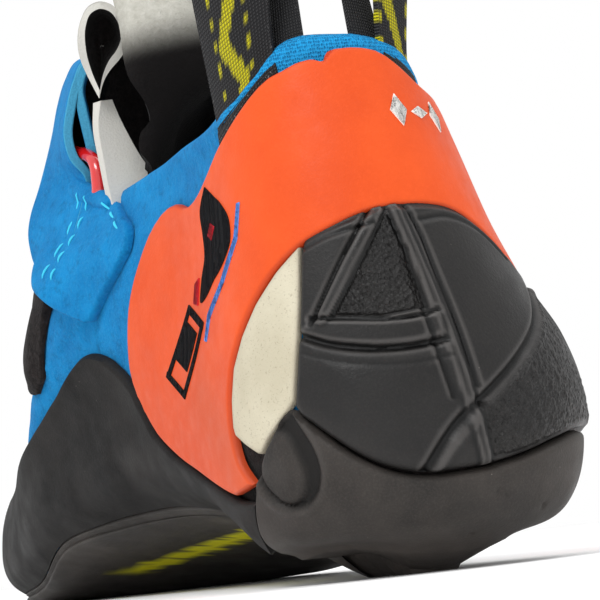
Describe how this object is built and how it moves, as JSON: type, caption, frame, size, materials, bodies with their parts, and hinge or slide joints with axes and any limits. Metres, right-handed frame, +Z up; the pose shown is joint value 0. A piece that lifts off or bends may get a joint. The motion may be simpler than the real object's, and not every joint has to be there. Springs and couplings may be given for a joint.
{
  "type": "climbing shoe",
  "caption": "Downturned climbing shoe with a blue suede upper, black rubber sole, heel cup and rand, orange heel band, cream tongue and an instep strap with a red ring",
  "frame": {"origin": "on the floor, in the middle of the flat spot under the heel", "axes": "+X runs to the toe, +Y to the medial side, +Z up"},
  "size_m": [0.2492, 0.0847, 0.1394],
  "materials": {
    "upper_suede": "napped blue suede",
    "sole_rubber": "matte dusty black rubber",
    "insole_fabric": "black lining",
    "tongue_fabric": "cream microfibre",
    "cup_rubber": "matte black moulded rubber, pebbled in parts",
    "panel_cream": "matte cream rubber with fine dark specks",
    "band_orange": "smooth satin orange rubber",
    "ring_red": "glossy red plastic",
    "loop_webbing": "black woven webbing"
  },
  "bodies": {
    "root": {"upper": "upper_suede", "outsole": "sole_rubber", "insole": "insole_fabric", "tongue": "tongue_fabric", "heel_cup": "cup_rubber", "heel_panel": "panel_cream", "sling_band": "band_orange", "rand_medial": "cup_rubber", "rand_toe": "cup_rubber", "rand_lateral": "cup_rubber", "closure_strap": "upper_suede", "strap_return": "upper_suede", "ring_tab": "upper_suede", "strap_ring": "ring_red", "pull_loop_medial": "loop_webbing", "pull_loop_lateral": "loop_webbing"}
  },
  "joints": []
}
